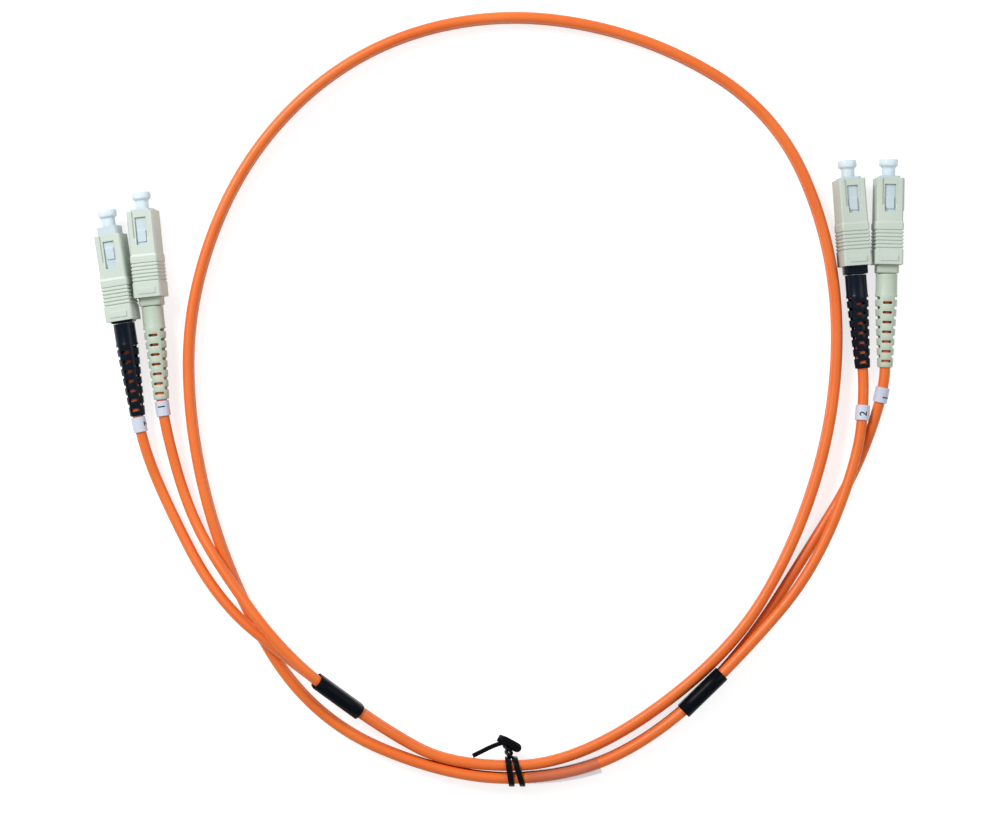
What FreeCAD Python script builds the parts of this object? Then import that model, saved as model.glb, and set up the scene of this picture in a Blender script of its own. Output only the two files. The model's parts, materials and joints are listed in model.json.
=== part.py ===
import FreeCAD, Part
import math
import os

# Duplex optical patch cable, coiled on a table. Millimetres, +Z up, table top at z = 0.
# Each plug is built along its own axis: x forward to the tip, y across, z up,
# with x = 0 at the rear face of the grip when the grip is pushed forward.

# Cord
STRAND_DIAMETER = 3.0
STRAND_PITCH = 3.2
STRAND_SIDES = 6
ARC_SHARE = 0.45

# Grip, the outer housing that the fingers push and pull
GRIP_LENGTH = 24.0
GRIP_WIDTH = 7.4
GRIP_HEIGHT = 9.0
GRIP_SIDE_WALL = 0.75
GRIP_TOP_WALL = 0.9
GRIP_BEVEL = 0.4
GRIP_REAR_LENGTH = 11.4
GRIP_REAR_STEP = 0.2
GRIP_REAR_TAPER = 0.6
GRIP_TRAVEL = 2.0
WINDOW_WIDTH = 3.1
WINDOW_LENGTH = 7.6
WINDOW_SETBACK = 1.8
CHANNEL_WIDTH = 4.4
CHANNEL_DEPTH = 0.45
CHANNEL_LENGTH = 7.6
RIB_COUNT = 6
RIB_PITCH = 1.0
RIB_GROOVE = 0.45
RIB_DEPTH = 0.3
RIB_START = 4.2
PAD_LENGTH = 1.6
PAD_WIDTH = 4.9
PAD_HEIGHT = 0.25
PAD_START = 1.0
KEY_WIDTH = 2.1
KEY_HEIGHT = 0.7
KEY_LENGTH = 9.0

# Plug frame inside the grip
FRAME_REAR = 4.0
FRAME_PROUD = 0.6
FRAME_CLEARANCE = 0.15
FRAME_BEVEL = 0.5
FRAME_WALL = 0.4
LATCH_LENGTH = 3.2
LATCH_WIDTH = 2.3
LATCH_HEIGHT = 0.35
LATCH_SETBACK = 3.6

# Ferrule, its holder and spring
FERRULE_DIAMETER = 2.5
FERRULE_SETBACK = 0.5
FERRULE_LENGTH = 9.5
FERRULE_SIDES = 16
HOLDER_WALL = 0.65
HOLDER_NOSE_LENGTH = 3.0
FLANGE_LENGTH = 1.6
FLANGE_SIDES = 6
TAIL_DIAMETER = 1.5
TAIL_LENGTH = 8.0
TURNED_SIDES = 12
STOP_THICKNESS = 1.0
RUNNING_CLEARANCE = 0.15
SEAT_CLEARANCE = 0.05
SPRING_WIRE = 0.4
SPRING_TURNS = 4
SPRING_STEPS = 8

# Back body, crimp ring and the end of the jacket
BODY_SEAT_LENGTH = 2.0
BODY_COLLAR_LENGTH = 1.6
BODY_COLLAR_SIZE = 5.4
BARREL_DIAMETER = 3.3
BARREL_BORE = 2.0
BARREL_END = -5.8
CRIMP_FRONT = -1.0
CRIMP_WALL = 0.35
CRIMP_REACH = 2.8
CRIMP_SIDES = 6
JACKET_END = -6.3

# Boot
BOOT_FRONT = 1.0
BOOT_COLLAR_SIZE = 6.2
BOOT_COLLAR_BEVEL = 0.8
BOOT_COLLAR_END = -2.3
BOOT_BARREL_DIAMETER = 6.0
BOOT_BARREL_END = -8.5
BOOT_SHOULDER_DIAMETER = 6.2
BOOT_TAIL_DIAMETER = 4.2
BOOT_END = -28.5
BOOT_BORE_CLEARANCE = 0.1
BOOT_SIDES = 8
SLOT_COUNT = 7
SLOT_PITCH = 2.7
SLOT_WIDTH = 0.7
SLOT_START = -10.2
SLOT_BREADTH = 2.6
SIDE_SLOT_SHARE = 0.72

# Dust cap
CAP_WALL = 0.6
CAP_COVER = 4.0
CAP_NECK_LENGTH = 7.6
CAP_FLANGE_DIAMETER = 5.4
CAP_FLANGE_LENGTH = 2.3
CAP_BORE_CLEARANCE = 0.02
CAP_SIDES = 16
CAP_END_CLEARANCE = 0.4

# Sleeves on the cord
MARKER_LENGTH = 4.3
MARKER_WALL = 0.45
MARKER_CLEARANCE = 0.08
MARKER_SIDES = 12
GUARD_LENGTH = 15.0
GUARD_WALL = 0.35
GUARD_CLEARANCE = 0.3
LABEL_WALL = 0.25
LABEL_CLEARANCE = 0.12
LABEL_STRAIGHT_REACH = 0.8
LABEL_STEPS = 8

# Twist tie
TIE_THICKNESS = 0.8
TIE_WIDTH = 1.7
TIE_CLEARANCE = 0.3
TIE_BANDS = (1.7, 4.6)
TIE_LEAN = 4.0
KNOT_WIDTH = 2.4
KNOT_LENGTH = 2.0
PADDLE_LENGTH = 6.4
PADDLE_DEPTH = 3.6
PADDLE_THICKNESS = 1.2
TAIL_END = (-7.2, -98.6)

# Route of the lower strand where both strands run together, in five parts.
# The guard tubes are on the two end runs and the tie is across the inner and outer turns.
# The upper strand lies one pitch above it.
LEFT_RUN = [(-57.9, -71.8, 10.0), (-31.4, -92.0, 1.6)]
INNER_TURN = [(-12.9, -101.2, 2.6), (20.9, -100.8, 2.6)]
LOOP = [
    (62.4, -72.3, 1.6),
    (82.9, -39.8, 1.6),
    (94.5, 0.3, 1.6),
    (93.2, 42.3, 1.6),
    (77.3, 80.2, 1.6),
    (41.9, 101.5, 1.6),
    (-0.2, 108.7, 1.6),
    (-39.8, 97.8, 1.6),
    (-70.3, 69.5, 1.6),
    (-86.5, 29.7, 1.6),
    (-86.3, -9.8, 1.6),
    (-75.0, -50.4, 1.6),
    (-52.4, -88.6, 1.6),
]
OUTER_TURN = [(-12.5, -105.2, 2.6), (20.1, -104.6, 2.6)]
RIGHT_RUN = [(44.9, -92.5, 2.6), (68.3, -69.8, 2.1)]
SHARED_ROUTE = LEFT_RUN + INNER_TURN + LOOP + OUTER_TURN + RIGHT_RUN

# The legs of each strand, plug end first
LEG_LEFT_1 = [(-95.9, 22.4, 5.25), (-92.1, -15.4, 5.25), (-74.9, -49.4, 11.6)]
LEG_LEFT_2 = [(-103.6, 17.7, 5.25), (-97.9, -19.9, 5.25), (-79.0, -53.3, 10.0)]
LEG_RIGHT_2 = [(99.3, 31.1, 5.25), (102.2, -6.8, 5.25), (91.2, -43.6, 10.5)]
LEG_RIGHT_1 = [(107.6, 31.4, 5.05), (106.9, -6.6, 5.05), (88.7, -40.5, 1.6)]

# Each plug: its leg, its roll about its own axis, how far the grip stands back,
# and how far past the boot the middle of its number sleeve is
PLUGS = {
    "left_1": (LEG_LEFT_1, -8.0, 0.0, 2.4),
    "left_2": (LEG_LEFT_2, -8.0, 1.8, 2.4),
    "right_1": (LEG_RIGHT_1, 182.0, 0.0, 7.8),
    "right_2": (LEG_RIGHT_2, 188.0, 0.0, 12.4),
}

FORWARD = FreeCAD.Vector(1, 0, 0)
UP = FreeCAD.Vector(0, 0, 1)


def save(name, shape):
    shape.exportStep("parts/" + name + ".step")
    print(name, "volume", round(shape.Volume, 2))


def unit(vector):
    return FreeCAD.Vector(vector).normalize()


def block(start, end, width, height, middle=(0.0, 0.0)):
    corner = FreeCAD.Vector(start, middle[0] - width / 2, middle[1] - height / 2)
    return Part.makeBox(end - start, width, height, corner)


def outline(corners):
    return Part.makePolygon(corners + corners[:1])


def bevelled_outline(width, height, bevel, at=0.0):
    """A rectangle with bevelled corners, square to the axis at the given place."""
    y = width / 2
    z = height / 2
    corners = []
    for side_y, side_z in ((1, 1), (-1, 1), (-1, -1), (1, -1)):
        on_side = FreeCAD.Vector(at, side_y * y, side_z * (z - bevel))
        on_top = FreeCAD.Vector(at, side_y * (y - bevel), side_z * z)
        corners.extend((on_side, on_top) if side_y == side_z else (on_top, on_side))
    return outline(corners)


def bevelled_bar(start, end, width, height, bevel):
    face = Part.Face(bevelled_outline(width, height, bevel, start))
    return face.extrude(FreeCAD.Vector(end - start, 0, 0))


def tapered_bar(start, end, first, last, bevel):
    """A bar that changes from one bevelled rectangle to another."""
    outlines = [
        bevelled_outline(first[0], first[1], bevel, start),
        bevelled_outline(last[0], last[1], bevel, end),
    ]
    return Part.makeLoft(outlines, True, True)


def many_sided_outline(diameter, sides, at=0.0):
    """A regular outline with a flat on top; the diameter is across its corners."""
    corners = []
    for i in range(sides):
        turn = 2 * math.pi * (i + 0.5) / sides
        corners.append(FreeCAD.Vector(at, diameter / 2 * math.sin(turn), diameter / 2 * math.cos(turn)))
    return outline(corners)


def many_sided_bar(start, end, diameter, sides):
    return Part.Face(many_sided_outline(diameter, sides, start)).extrude(FORWARD * (end - start))


def across_flats(diameter, sides):
    """The diameter across the corners that gives this diameter across the flats."""
    return diameter / math.cos(math.pi / sides)


def turned_hole(start, end, diameter):
    """The space of a hole that a round piece of this diameter fits in."""
    return many_sided_bar(start, end, across_flats(diameter, TURNED_SIDES), TURNED_SIDES)


# Sizes that follow from the driving dimensions
octagon_bevel = 2 - math.sqrt(2)
strand_radius = STRAND_DIAMETER / 2
cavity_width = GRIP_WIDTH - 2 * GRIP_SIDE_WALL
cavity_height = GRIP_HEIGHT - 2 * GRIP_TOP_WALL
rear_width = GRIP_WIDTH + 2 * GRIP_REAR_STEP
rear_height = GRIP_HEIGHT + 2 * GRIP_REAR_STEP
frame_width = cavity_width - 2 * FRAME_CLEARANCE
frame_height = cavity_height - 2 * FRAME_CLEARANCE
frame_front = GRIP_LENGTH + FRAME_PROUD
frame_bore = min(frame_width, frame_height) - 2 * FRAME_WALL
body_front = FRAME_REAR + BODY_SEAT_LENGTH
ferrule_tip = GRIP_LENGTH - FERRULE_SETBACK
ferrule_rear = ferrule_tip - FERRULE_LENGTH
nose_diameter = FERRULE_DIAMETER + 2 * HOLDER_WALL
nose_front = ferrule_rear + HOLDER_NOSE_LENGTH
flange_diameter = frame_bore - 2 * RUNNING_CLEARANCE
flange_rear = ferrule_rear - FLANGE_LENGTH
stop_rear = ferrule_rear + SEAT_CLEARANCE
stop_front = stop_rear + STOP_THICKNESS
cap_neck_diameter = FERRULE_DIAMETER + 2 * CAP_BORE_CLEARANCE + 2 * CAP_WALL
cap_start = ferrule_tip - CAP_COVER
cap_neck_end = cap_start + CAP_NECK_LENGTH
cap_end = cap_neck_end + CAP_FLANGE_LENGTH
crimp_bore = BARREL_DIAMETER + 2 * SEAT_CLEARANCE
crimp_diameter = across_flats(crimp_bore + 2 * CRIMP_WALL, CRIMP_SIDES)
crimp_end = JACKET_END - CRIMP_REACH
boot_bore = across_flats(STRAND_DIAMETER + 2 * BOOT_BORE_CLEARANCE, BOOT_SIDES)
boot_front_bore = across_flats(crimp_diameter + 2 * BOOT_BORE_CLEARANCE, BOOT_SIDES)


def grip_shell():
    """The outer body with its stepped rear, the running hole and the pocket for the boot."""
    taper_end = GRIP_REAR_LENGTH + GRIP_REAR_TAPER
    rear = bevelled_bar(0, GRIP_REAR_LENGTH, rear_width, rear_height, GRIP_BEVEL)
    taper = tapered_bar(
        GRIP_REAR_LENGTH, taper_end, (rear_width, rear_height), (GRIP_WIDTH, GRIP_HEIGHT), GRIP_BEVEL
    )
    front = bevelled_bar(taper_end, GRIP_LENGTH, GRIP_WIDTH, GRIP_HEIGHT, GRIP_BEVEL)
    hole = block(0, GRIP_LENGTH, cavity_width, cavity_height)
    pocket_depth = BOOT_FRONT + GRIP_TRAVEL + 2 * RUNNING_CLEARANCE
    pocket_size = BOOT_COLLAR_SIZE + 2 * RUNNING_CLEARANCE
    pocket = block(0, pocket_depth, pocket_size, max(pocket_size, cavity_height))
    return rear.fuse([taper, front]).cut(hole.fuse(pocket))


def grip_cuts():
    """Grip ribs all round, and on top and bottom the front channel and the window."""
    cuts = []
    for i in range(RIB_COUNT):
        start = RIB_START + i * RIB_PITCH
        band = block(start, start + RIB_GROOVE, 2 * rear_width, 2 * rear_height)
        core = block(start, start + RIB_GROOVE, rear_width - 2 * RIB_DEPTH, rear_height - 2 * RIB_DEPTH)
        cuts.append(band.cut(core))
    channel_start = GRIP_LENGTH - CHANNEL_LENGTH
    window_end = GRIP_LENGTH - WINDOW_SETBACK
    for side in (1, -1):
        at_floor = (0.0, side * (GRIP_HEIGHT - CHANNEL_DEPTH) / 2)
        cuts.append(block(channel_start, GRIP_LENGTH, CHANNEL_WIDTH, CHANNEL_DEPTH, at_floor))
    cuts.append(block(window_end - WINDOW_LENGTH, window_end, WINDOW_WIDTH, rear_height))
    return cuts


def grip():
    shell = grip_shell()
    additions = [block(GRIP_LENGTH - KEY_LENGTH, GRIP_LENGTH, KEY_HEIGHT, KEY_WIDTH,
                       ((GRIP_WIDTH + KEY_HEIGHT) / 2, 0.0))]
    for side in (1, -1):
        at_face = (0.0, side * (rear_height + PAD_HEIGHT) / 2)
        additions.append(block(PAD_START, PAD_START + PAD_LENGTH, PAD_WIDTH, PAD_HEIGHT, at_face))
    return shell.cut(grip_cuts()).fuse(additions).removeSplitter()


def plug_frame():
    """The white inner housing: a bored bar with a stop for the holder and two latch bosses."""
    bar = bevelled_bar(FRAME_REAR, frame_front, frame_width, frame_height, FRAME_BEVEL)
    bosses = []
    boss_end = GRIP_LENGTH - WINDOW_SETBACK - LATCH_SETBACK
    for side in (1, -1):
        at_face = (0.0, side * (frame_height + LATCH_HEIGHT) / 2)
        bosses.append(block(boss_end - LATCH_LENGTH, boss_end, LATCH_WIDTH, LATCH_HEIGHT, at_face))
    bores = [
        bevelled_bar(FRAME_REAR, stop_rear, frame_bore, frame_bore, FRAME_BEVEL),
        turned_hole(stop_rear, stop_front, nose_diameter + 2 * RUNNING_CLEARANCE),
        bevelled_bar(stop_front, frame_front, frame_bore, frame_bore, frame_bore * octagon_bevel / 2),
    ]
    return bar.fuse(bosses).cut(bores)


def ferrule():
    return many_sided_bar(ferrule_rear, ferrule_tip, FERRULE_DIAMETER, FERRULE_SIDES)


def ferrule_holder():
    """The metal cup that carries the ferrule, with its flange and the tube behind it."""
    nose = many_sided_bar(ferrule_rear, nose_front, nose_diameter, TURNED_SIDES)
    nose = nose.cut(turned_hole(ferrule_rear, nose_front, FERRULE_DIAMETER))
    flange = many_sided_bar(flange_rear, ferrule_rear, flange_diameter, FLANGE_SIDES)
    tail = many_sided_bar(flange_rear - TAIL_LENGTH, flange_rear, TAIL_DIAMETER, FLANGE_SIDES)
    return nose.fuse([flange, tail]).removeSplitter()


def ferrule_spring():
    """A coil of square wire between the back body and the flange of the holder."""
    outer = flange_diameter / 2 - RUNNING_CLEARANCE
    rear = body_front + SEAT_CLEARANCE + SPRING_WIRE / 2
    front = flange_rear - SEAT_CLEARANCE - SPRING_WIRE / 2
    count = SPRING_TURNS * SPRING_STEPS
    rings = []
    for i in range(count + 1):
        turn = 2 * math.pi * i / SPRING_STEPS
        along = rear + (front - rear) * i / count
        ring = []
        for reach, shift in ((0, -1), (0, 1), (1, 1), (1, -1)):
            radius = outer - SPRING_WIRE * reach
            ring.append(FreeCAD.Vector(along + shift * SPRING_WIRE / 2,
                                       radius * math.cos(turn), radius * math.sin(turn)))
        rings.append(ring)
    faces = [Part.Face(Part.makePolygon(rings[0] + rings[0][:1])),
             Part.Face(Part.makePolygon(rings[-1] + rings[-1][:1]))]
    for near, far in zip(rings, rings[1:]):
        for k in range(4):
            a, b, c, d = near[k], near[(k + 1) % 4], far[(k + 1) % 4], far[k]
            faces.append(Part.Face(Part.makePolygon([a, b, c, a])))
            faces.append(Part.Face(Part.makePolygon([a, c, d, a])))
    spring = Part.makeSolid(Part.makeShell(faces))
    if spring.Volume < 0:
        spring.reverse()
    return spring


def back_body():
    """The piece behind the frame: plug part, collar, and the barrel that is crimped on."""
    plug_size = frame_bore - 2 * SEAT_CLEARANCE
    plug_part = bevelled_bar(FRAME_REAR, body_front, plug_size, plug_size, FRAME_BEVEL)
    collar = bevelled_bar(FRAME_REAR - BODY_COLLAR_LENGTH, FRAME_REAR, BODY_COLLAR_SIZE,
                         BODY_COLLAR_SIZE, FRAME_BEVEL)
    barrel = many_sided_bar(BARREL_END, FRAME_REAR - BODY_COLLAR_LENGTH, BARREL_DIAMETER, TURNED_SIDES)
    return collar.fuse([plug_part, barrel]).cut(turned_hole(BARREL_END, body_front, BARREL_BORE))


def crimp_ring():
    """The ring pressed to a hexagon over the barrel and the end of the jacket."""
    ring = many_sided_bar(crimp_end, CRIMP_FRONT, crimp_diameter, CRIMP_SIDES)
    return ring.cut(turned_hole(crimp_end, CRIMP_FRONT, crimp_bore))


def boot_diameter(at):
    """The diameter of the boot's slotted cone at a place along it."""
    share = (at - BOOT_END) / (BOOT_BARREL_END - BOOT_END)
    return BOOT_TAIL_DIAMETER + share * (BOOT_SHOULDER_DIAMETER - BOOT_TAIL_DIAMETER)


def boot_slots():
    """Slots through top and bottom, and ahead of each a taller slot through both sides."""
    slots = []
    reach = 2 * BOOT_SHOULDER_DIAMETER
    for i in range(SLOT_COUNT):
        start = SLOT_START - i * SLOT_PITCH
        slots.append(block(start - SLOT_WIDTH, start, SLOT_BREADTH, reach))
        ahead = start + SLOT_PITCH / 2
        slots.append(block(ahead - SLOT_WIDTH, ahead, reach, SIDE_SLOT_SHARE * boot_diameter(ahead)))
    return slots


def boot():
    """The rubber strain relief: collar in the grip, barrel, and a slotted cone."""
    collar = bevelled_bar(BOOT_COLLAR_END, BOOT_FRONT, BOOT_COLLAR_SIZE, BOOT_COLLAR_SIZE,
                         BOOT_COLLAR_BEVEL)
    barrel = many_sided_bar(BOOT_BARREL_END, BOOT_COLLAR_END, BOOT_BARREL_DIAMETER, BOOT_SIDES)
    tail = Part.makeLoft([
        many_sided_outline(BOOT_TAIL_DIAMETER, BOOT_SIDES, BOOT_END),
        many_sided_outline(BOOT_SHOULDER_DIAMETER, BOOT_SIDES, BOOT_BARREL_END),
    ], True, True)
    front_bore_end = crimp_end - BOOT_BORE_CLEARANCE
    bores = [many_sided_bar(front_bore_end, BOOT_FRONT, boot_front_bore, BOOT_SIDES),
             many_sided_bar(BOOT_END, front_bore_end, boot_bore, BOOT_SIDES)]
    return collar.fuse([barrel, tail]).cut(bores + boot_slots())


def dust_cap():
    """The clear cap: a hollow neck over the ferrule and a round flange to pull."""
    neck = many_sided_bar(cap_start, cap_neck_end, cap_neck_diameter, CAP_SIDES)
    flange = many_sided_bar(cap_neck_end, cap_end, CAP_FLANGE_DIAMETER, CAP_SIDES)
    bore = turned_hole(cap_start, ferrule_tip + CAP_END_CLEARANCE, FERRULE_DIAMETER + 2 * CAP_BORE_CLEARANCE)
    return neck.fuse(flange).cut(bore)


def cord_path(points):
    """Straight runs joined by tangent arcs, each as large as its two runs allow."""
    corners = [FreeCAD.Vector(*point) for point in points]
    edges = []
    radii = []
    start = corners[0]
    for before, corner, after in zip(corners, corners[1:], corners[2:]):
        back = before - corner
        ahead = after - corner
        half_turn = (math.pi - back.getAngle(ahead)) / 2
        reach = ARC_SHARE * min(back.Length, ahead.Length)
        radius = reach / math.tan(half_turn)
        entry = corner + unit(back) * reach
        leave = corner + unit(ahead) * reach
        inward = unit(unit(back) + unit(ahead))
        middle = corner + inward * (radius / math.cos(half_turn) - radius)
        edges.append(Part.LineSegment(start, entry).toShape())
        edges.append(Part.Arc(entry, middle, leave).toShape())
        radii.append(round(radius, 1))
        start = leave
    edges.append(Part.LineSegment(start, corners[-1]).toShape())
    print("cord radii", radii)
    return Part.Wire(edges)


def cord_tube(path, name):
    start = path.Edges[0].valueAt(path.Edges[0].FirstParameter)
    direction = path.Edges[0].tangentAt(path.Edges[0].FirstParameter)
    section = many_sided_outline(STRAND_DIAMETER, STRAND_SIDES)
    section.Placement = aim(start, direction)
    tube = path.makePipeShell([section], True, False)
    expected = Part.Face(section).Area * path.Length
    print(name, "length", round(path.Length, 1), "volume over section times length",
          round(tube.Volume / expected, 5))
    return tube


def place_along(path, distance):
    """The place and direction on a path at a distance from its start."""
    rest = distance
    edges = list(path.Edges)
    while rest > edges[0].Length:
        rest -= edges.pop(0).Length
    parameter = edges[0].getParameterByLength(rest)
    return edges[0].valueAt(parameter), edges[0].tangentAt(parameter)


def many_sided_sleeve(place, direction, length, bore, wall, sides):
    """A sleeve centred on a place of the cord."""
    outer = many_sided_bar(-length / 2, length / 2, across_flats(bore + 2 * wall, sides), sides)
    inner = many_sided_bar(-length / 2, length / 2, across_flats(bore, sides), sides)
    sleeve = outer.cut(inner)
    sleeve.Placement = aim(place, direction)
    return sleeve


def pair_outline(radius):
    """An outline round both strands, on edge, square to x, its ends half an octagon."""
    return bevelled_outline(2 * radius, 2 * radius + STRAND_PITCH, radius * octagon_bevel)


def aim(place, direction):
    """A placement at a place, x along the direction, and z as near to up as that allows."""
    heading = math.degrees(math.atan2(direction.y, direction.x))
    climb = math.degrees(math.asin(direction.z / direction.Length))
    turn = FreeCAD.Rotation(UP, heading)
    tilt = FreeCAD.Rotation(FreeCAD.Vector(0, 1, 0), -climb)
    return FreeCAD.Placement(place, turn * tilt)


def between_strands(point):
    return FreeCAD.Vector(*point) + UP * (STRAND_PITCH / 2)


def guard_tube(first, last):
    """A stiff tube round both strands, on the middle of one straight run."""
    inner = strand_radius + GUARD_CLEARANCE
    outer = Part.Face(pair_outline(inner + GUARD_WALL))
    ring = outer.cut(Part.Face(pair_outline(inner)))
    tube = ring.extrude(FORWARD * GUARD_LENGTH)
    tube.translate(FORWARD * (-GUARD_LENGTH / 2))
    start = between_strands(first)
    end = between_strands(last)
    tube.Placement = aim((start + end) * 0.5, end - start).multiply(tube.Placement)
    return tube


def label_sleeve(before, corner, after):
    """A clear sleeve round both strands that follows one bend of the outer turn."""
    route = [between_strands(point) for point in (before, corner, after)]
    back = route[0] - route[1]
    ahead = route[2] - route[1]
    half_turn = (math.pi - back.getAngle(ahead)) / 2
    reach = ARC_SHARE * min(back.Length, ahead.Length)
    radius = reach / math.tan(half_turn)
    heading = unit(back) * -1
    left = UP.cross(heading)
    entry = route[1] + unit(back) * reach
    centre = entry + left * radius
    inner = strand_radius + LABEL_CLEARANCE
    bars = []
    for size in (inner + LABEL_WALL, inner):
        sections = [pair_outline(size)]
        sections[0].Placement = aim(entry - heading * LABEL_STRAIGHT_REACH, heading)
        for i in range(LABEL_STEPS + 1):
            section = pair_outline(size)
            section.Placement = aim(entry, heading)
            section.rotate(centre, UP, math.degrees(2 * half_turn) * i / LABEL_STEPS)
            sections.append(section)
        bars.append(Part.makeLoft(sections, True, True))
    return bars[0].cut(bars[1])


def tie_middle(across):
    """The middle of the bundle under the tie at one place along x."""
    inner = between_strands(point_at_x(*INNER_TURN, across))
    outer = between_strands(point_at_x(*OUTER_TURN, across))
    return (inner + outer) * 0.5, inner.y - outer.y


def point_at_x(first, last, x):
    share = (x - first[0]) / (last[0] - first[0])
    return [a + (b - a) * share for a, b in zip(first, last)]


def twist_tie():
    """Two bands of flat ribbon round all four strands, a knot, a paddle end and a tail."""
    pieces = []
    for across in TIE_BANDS:
        middle, spread = tie_middle(across)
        width = spread + STRAND_DIAMETER + 2 * TIE_CLEARANCE
        height = STRAND_PITCH + STRAND_DIAMETER + 2 * TIE_CLEARANCE
        bevel = (strand_radius + TIE_CLEARANCE) * octagon_bevel
        outer = Part.Face(bevelled_outline(width + 2 * TIE_THICKNESS, height + 2 * TIE_THICKNESS,
                                           bevel + TIE_THICKNESS * octagon_bevel))
        ring = outer.cut(Part.Face(bevelled_outline(width, height, bevel)))
        band = ring.extrude(FORWARD * TIE_WIDTH)
        band.translate(FORWARD * (-TIE_WIDTH / 2))
        band.rotate(FreeCAD.Vector(0, 0, 0), UP, TIE_LEAN)
        band.translate(middle)
        pieces.append(band)
    edge = middle + FreeCAD.Vector(0, width / 2 + TIE_THICKNESS / 2, 0)
    centre_x = sum(TIE_BANDS) / 2
    knot_span = TIE_BANDS[1] - TIE_BANDS[0]
    knot = Part.makeBox(knot_span, KNOT_LENGTH, KNOT_WIDTH,
                        FreeCAD.Vector(TIE_BANDS[0], edge.y, edge.z - KNOT_WIDTH / 2))
    pieces.append(knot)
    paddle_start = edge.y + KNOT_LENGTH - TIE_THICKNESS / 2
    paddle = Part.makeBox(PADDLE_LENGTH, PADDLE_DEPTH, PADDLE_THICKNESS,
                          FreeCAD.Vector(centre_x - PADDLE_LENGTH / 2, paddle_start,
                                         edge.z - PADDLE_THICKNESS / 2))
    pieces.append(paddle)
    tail_root = FreeCAD.Vector(TIE_BANDS[0] + TIE_THICKNESS, edge.y + KNOT_LENGTH / 2, edge.z - TIE_WIDTH / 2)
    tail_tip = FreeCAD.Vector(TAIL_END[0], TAIL_END[1], tail_root.z)
    run = tail_tip - tail_root
    tail = Part.makeBox(run.Length, TIE_THICKNESS, TIE_WIDTH, FreeCAD.Vector(0, -TIE_THICKNESS / 2, 0))
    tail.Placement = aim(tail_root, run)
    pieces.append(tail)
    return pieces[0].fuse(pieces[1:]).removeSplitter()


def plug_place(leg, roll):
    """A plug's placement on its leg: the end of the jacket is where the leg begins."""
    end = FreeCAD.Vector(*leg[0])
    axis = unit(end - FreeCAD.Vector(*leg[1]))
    origin = end - axis * JACKET_END
    heading = FreeCAD.Rotation(UP, math.degrees(math.atan2(axis.y, axis.x)))
    return FreeCAD.Placement(origin, heading * FreeCAD.Rotation(FORWARD, roll))


def moved(shape, placement, shift=0.0):
    copy = shape.copy()
    copy.Placement = placement.multiply(FreeCAD.Placement(FORWARD * shift, FreeCAD.Rotation()))
    return copy


def save_plugs():
    pieces = {
        "plug_frame": plug_frame(),
        "ferrule": ferrule(),
        "ferrule_holder": ferrule_holder(),
        "ferrule_spring": ferrule_spring(),
        "back_body": back_body(),
        "crimp_ring": crimp_ring(),
        "boot": boot(),
        "dust_cap": dust_cap(),
    }
    finger_grip = grip()
    for name, (leg, roll, grip_back, _) in PLUGS.items():
        placement = plug_place(leg, roll)
        for kind, shape in pieces.items():
            save(kind + "_" + name, moved(shape, placement))
        save("grip_" + name, moved(finger_grip, placement, -grip_back))


def save_marker(name, path):
    """The number sleeve on one leg; the path starts at that leg's plug."""
    marker_gap = PLUGS[name][3]
    place, direction = place_along(path, JACKET_END - BOOT_END + marker_gap)
    bore = STRAND_DIAMETER + 2 * MARKER_CLEARANCE
    save("marker_" + name, many_sided_sleeve(place, direction, MARKER_LENGTH, bore, MARKER_WALL, MARKER_SIDES))


def save_cords():
    raised = [(x, y, z + STRAND_PITCH) for x, y, z in SHARED_ROUTE]
    strands = {
        "cord_upper": (LEG_LEFT_1 + raised + LEG_RIGHT_2[::-1], "left_1", "right_2"),
        "cord_lower": (LEG_LEFT_2 + SHARED_ROUTE + LEG_RIGHT_1[::-1], "left_2", "right_1"),
    }
    for name, (points, first_plug, last_plug) in strands.items():
        path = cord_path(points)
        save(name, cord_tube(path, name))
        save_marker(first_plug, path)
        save_marker(last_plug, cord_path(points[::-1]))


os.makedirs("parts", exist_ok=True)
save_plugs()
save_cords()
save("guard_tube_left", guard_tube(*LEFT_RUN))
save("guard_tube_right", guard_tube(*RIGHT_RUN))
save("label_sleeve", label_sleeve(*OUTER_TURN, RIGHT_RUN[0]))
save("twist_tie", twist_tie())
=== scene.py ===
import json
import math

import bmesh
import bpy
from mathutils import Matrix, Vector


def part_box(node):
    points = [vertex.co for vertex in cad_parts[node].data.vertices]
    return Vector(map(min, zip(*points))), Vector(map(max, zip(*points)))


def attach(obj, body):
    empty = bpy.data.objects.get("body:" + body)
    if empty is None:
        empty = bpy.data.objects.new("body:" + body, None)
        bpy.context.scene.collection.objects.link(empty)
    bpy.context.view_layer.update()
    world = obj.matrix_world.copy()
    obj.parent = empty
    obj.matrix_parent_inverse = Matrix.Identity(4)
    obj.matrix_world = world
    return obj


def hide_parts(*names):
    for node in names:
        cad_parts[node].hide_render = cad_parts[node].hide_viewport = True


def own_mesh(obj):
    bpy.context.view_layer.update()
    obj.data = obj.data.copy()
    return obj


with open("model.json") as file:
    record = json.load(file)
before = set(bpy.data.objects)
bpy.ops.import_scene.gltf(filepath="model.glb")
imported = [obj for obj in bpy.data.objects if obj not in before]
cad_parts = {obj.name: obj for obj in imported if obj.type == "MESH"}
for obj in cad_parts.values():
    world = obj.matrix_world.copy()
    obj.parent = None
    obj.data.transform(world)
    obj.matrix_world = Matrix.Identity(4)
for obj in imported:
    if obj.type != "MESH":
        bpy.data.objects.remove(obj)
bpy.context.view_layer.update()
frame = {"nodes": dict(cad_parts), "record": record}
record = frame["record"]
nodes = frame["nodes"]

MM = 0.001
PLUGS = ("left_1", "left_2", "right_1", "right_2")

# The photograph: an overhead view, its scale at the height of the cable
IMAGE_WIDTH = 1000
PIXELS_PER_MM = 3.6
CAMERA_ABOVE = (0.28, -2.9)
CAMERA_HEIGHT = 900.0
CABLE_HEIGHT = 5.0
SENSOR_MM = 36.0

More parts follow.
